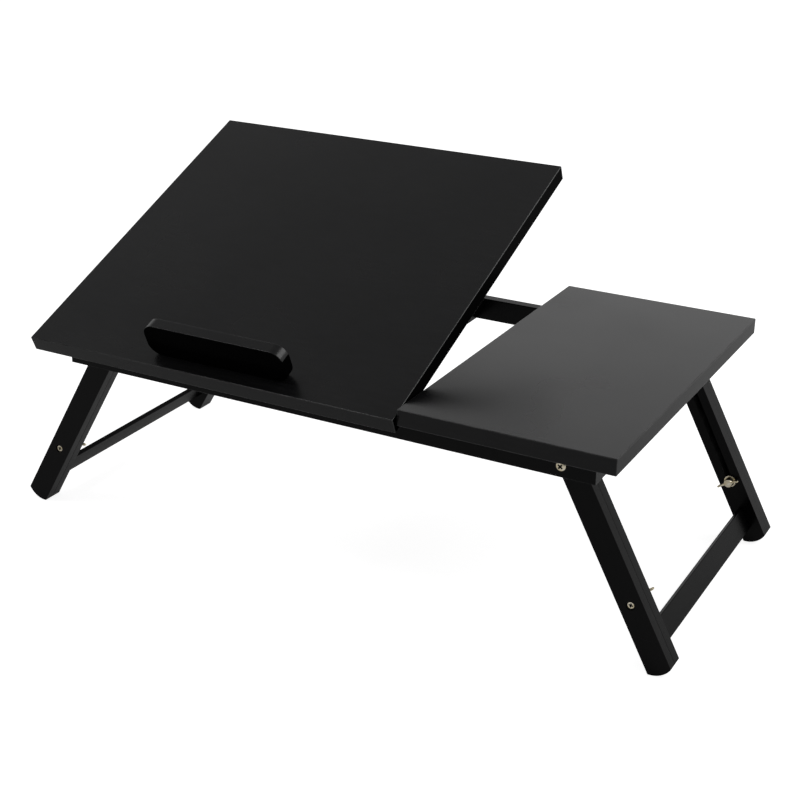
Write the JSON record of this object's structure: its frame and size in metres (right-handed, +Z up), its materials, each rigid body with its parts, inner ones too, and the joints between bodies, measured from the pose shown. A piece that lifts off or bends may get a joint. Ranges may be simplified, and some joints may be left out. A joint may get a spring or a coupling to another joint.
{
  "type": "bed tray table",
  "caption": "Black bed tray table with a tilting board and book stop beside a fixed board, on splayed legs that fold under and slide out to a greater height.",
  "frame": {"origin": "on the floor, under the middle of the overall box as the table stands with its board raised", "axes": "+X along the table from the tilting board to the fixed board, +Y from the user's side to the back, +Z up"},
  "size_m": [0.6608, 0.356, 0.3245],
  "materials": {
    "black_lacquer": "satin black lacquer on wood",
    "beech_dowel": "bare beech",
    "black_steel": "black coated steel",
    "yellow_zinc": "pale yellow zinc plating"
  },
  "bodies": {
    "frame": {"front_rail": "black_lacquer", "rear_rail": "black_lacquer", "frame_dowels": "beech_dowel", "fixed_board": "black_lacquer", "fixed_board_dowels": "beech_dowel", "hinge_rail_screws": "yellow_zinc", "left_end_rail": "black_lacquer", "middle_rail": "black_lacquer", "right_end_rail": "black_lacquer", "left_rack": "black_lacquer", "right_rack": "black_lacquer", "rack_screws": "yellow_zinc", "left_hinge_rail_leaf": "black_steel", "left_hinge_pin": "yellow_zinc", "right_hinge_rail_leaf": "black_steel", "right_hinge_pin": "yellow_zinc", "pivot_bolts": "yellow_zinc", "pivot_spacer_washers": "yellow_zinc", "pivot_washers": "yellow_zinc", "pivot_nuts": "yellow_zinc"},
    "tilting_board": {"tilt_board": "black_lacquer", "stopper": "black_lacquer", "stopper_screws": "yellow_zinc", "hinge_board_screws": "yellow_zinc", "prop_bracket_screws": "yellow_zinc", "left_hinge_board_leaf": "black_steel", "right_hinge_board_leaf": "black_steel", "left_prop_bracket": "black_steel", "left_prop_pin": "yellow_zinc", "right_prop_bracket": "black_steel", "right_prop_pin": "yellow_zinc"},
    "prop": {"prop_rod": "black_steel", "left_prop_arm": "black_steel", "right_prop_arm": "black_steel"},
    "left_upper_legs": {"left_front_upper_leg": "black_lacquer", "left_rear_upper_leg": "black_lacquer", "left_clamp_bolts": "yellow_zinc", "left_clamp_washers": "yellow_zinc"},
    "left_lower_legs": {"left_front_lower_leg": "black_lacquer", "left_rear_lower_leg": "black_lacquer", "left_crossbar": "black_lacquer"},
    "left_front_nut": {"left_front_wing_nut": "yellow_zinc"},
    "left_rear_nut": {"left_rear_wing_nut": "yellow_zinc"},
    "right_upper_legs": {"right_front_upper_leg": "black_lacquer", "right_rear_upper_leg": "black_lacquer", "right_clamp_bolts": "yellow_zinc", "right_clamp_washers": "yellow_zinc"},
    "right_lower_legs": {"right_front_lower_leg": "black_lacquer", "right_rear_lower_leg": "black_lacquer", "right_crossbar": "black_lacquer"},
    "right_front_nut": {"right_front_wing_nut": "yellow_zinc"},
    "right_rear_nut": {"right_rear_wing_nut": "yellow_zinc"}
  },
  "joints": [
    {"name": "board_tilt", "type": "hinge", "parent": "frame", "child": "tilting_board", "pos_m": [0.00443, -0.1558, 0.1795], "axis": [1, 0, 0], "range_deg": [-22.6, 0]},
    {"name": "prop_swing", "type": "hinge", "parent": "tilting_board", "child": "prop", "pos_m": [0.00443, -0.02194, 0.23522], "axis": [1, 0, 0], "range_deg": [0, 53.66]},
    {"name": "left_leg_fold", "type": "hinge", "parent": "frame", "child": "left_upper_legs", "pos_m": [-0.22284, 0.003, 0.1722], "axis": [0, -1, 0], "range_deg": [0, 115.1]},
    {"name": "left_leg_extend", "type": "slide", "parent": "left_upper_legs", "child": "left_lower_legs", "axis": [-0.5075, 0, -0.8616], "range_m": [0, 0.088]},
    {"name": "left_front_nut_turn", "type": "hinge", "parent": "left_upper_legs", "child": "left_front_nut", "pos_m": [-0.28831, -0.1199, 0.06105], "axis": [0, 1, 0], "continuous": true},
    {"name": "left_rear_nut_turn", "type": "hinge", "parent": "left_upper_legs", "child": "left_rear_nut", "pos_m": [-0.28831, 0.1178, 0.06105], "axis": [0, 1, 0], "continuous": true},
    {"name": "right_leg_fold", "type": "hinge", "parent": "frame", "child": "right_upper_legs", "pos_m": [0.23269, 0.003, 0.1722], "axis": [0, 1, 0], "range_deg": [0, 102.31]},
    {"name": "right_leg_extend", "type": "slide", "parent": "right_upper_legs", "child": "right_lower_legs", "axis": [0.4664, 0, -0.8846], "range_m": [0, 0.088]},
    {"name": "right_front_nut_turn", "type": "hinge", "parent": "right_upper_legs", "child": "right_front_nut", "pos_m": [0.29285, -0.1199, 0.05809], "axis": [0, 1, 0], "continuous": true},
    {"name": "right_rear_nut_turn", "type": "hinge", "parent": "right_upper_legs", "child": "right_rear_nut", "pos_m": [0.29285, 0.1178, 0.05809], "axis": [0, 1, 0], "continuous": true}
  ],
  "couplings": [
    {"joint": "prop_swing", "follows": "board_tilt", "ratio": -2.3744}
  ]
}
